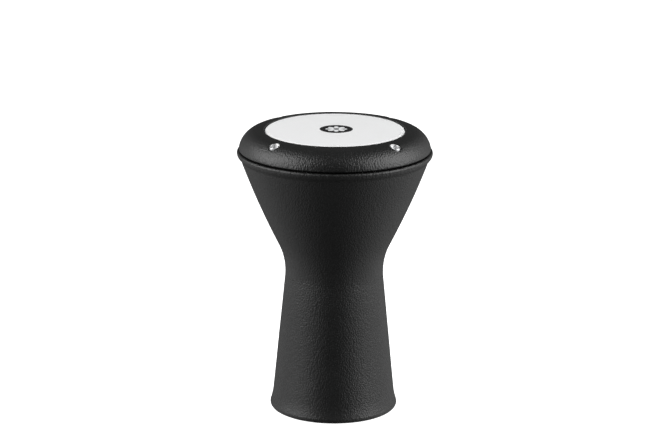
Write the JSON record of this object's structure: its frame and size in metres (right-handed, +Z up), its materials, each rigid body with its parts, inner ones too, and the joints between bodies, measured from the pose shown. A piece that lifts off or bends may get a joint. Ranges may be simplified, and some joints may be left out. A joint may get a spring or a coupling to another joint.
{
  "type": "darbuka",
  "caption": "Goblet hand drum with a clamped plastic head, a leather-covered cast shell, a screwed-down collar and a flared, open foot.",
  "frame": {"origin": "centre of the foot's resting circle, on the floor", "axes": "+Z up the drum's axis towards the drumhead, -Y towards the front, +X to the drum's right-hand side seen from the front"},
  "size_m": [0.3018, 0.3018, 0.4442],
  "materials": {
    "cast_aluminium": "raw cast, satin",
    "leather_black": "fine-grained artificial leather, semi-gloss",
    "collar_leather": "fine-grained artificial leather, stretched smooth, semi-gloss",
    "collar_metal": "cast, turned bright in the counterbores",
    "drumhead_white": "milky polyester film",
    "hoop_aluminium": "rolled, satin",
    "bolt_steel": "zinc plated, knurled",
    "washer_steel": "zinc plated",
    "insert_steel": "turned"
  },
  "bodies": {
    "shell": {"shell": "cast_aluminium", "stem_cover": "leather_black", "bowl_cover": "leather_black", "drumhead_film": "drumhead_white", "thread_insert_front_left": "insert_steel", "thread_insert_front_right": "insert_steel", "thread_insert_back_right": "insert_steel", "thread_insert_back_left": "insert_steel"},
    "collar": {"clamp_collar": "collar_metal", "collar_cover": "collar_leather", "flesh_hoop": "hoop_aluminium", "washer_front_left": "washer_steel", "washer_front_right": "washer_steel", "washer_back_right": "washer_steel", "washer_back_left": "washer_steel"},
    "bolt_front_left": {"tension_bolt_front_left": "bolt_steel"},
    "bolt_front_right": {"tension_bolt_front_right": "bolt_steel"},
    "bolt_back_right": {"tension_bolt_back_right": "bolt_steel"},
    "bolt_back_left": {"tension_bolt_back_left": "bolt_steel"}
  },
  "joints": [
    {"name": "collar_travel", "type": "slide", "parent": "shell", "child": "collar", "axis": [0, 0, 1], "range_m": [-0.0012, 0.0025], "deforming": ["drumhead_film"]},
    {"name": "bolt_turn_front_left", "type": "hinge", "parent": "collar", "child": "bolt_front_left", "pos_m": [-0.09122, -0.09122, 0.438], "axis": [0, 0, 1], "range_deg": [-346, 721]},
    {"name": "bolt_turn_front_right", "type": "hinge", "parent": "collar", "child": "bolt_front_right", "pos_m": [0.09122, -0.09122, 0.438], "axis": [0, 0, 1], "range_deg": [-346, 721]},
    {"name": "bolt_turn_back_right", "type": "hinge", "parent": "collar", "child": "bolt_back_right", "pos_m": [0.09122, 0.09122, 0.438], "axis": [0, 0, 1], "range_deg": [-346, 721]},
    {"name": "bolt_turn_back_left", "type": "hinge", "parent": "collar", "child": "bolt_back_left", "pos_m": [-0.09122, 0.09122, 0.438], "axis": [0, 0, 1], "range_deg": [-346, 721]}
  ],
  "couplings": [
    {"joint": "bolt_turn_front_left", "follows": "collar_travel", "rad_per_m": 5026.5},
    {"joint": "bolt_turn_front_right", "follows": "collar_travel", "rad_per_m": 5026.5},
    {"joint": "bolt_turn_back_right", "follows": "collar_travel", "rad_per_m": 5026.5},
    {"joint": "bolt_turn_back_left", "follows": "collar_travel", "rad_per_m": 5026.5}
  ]
}
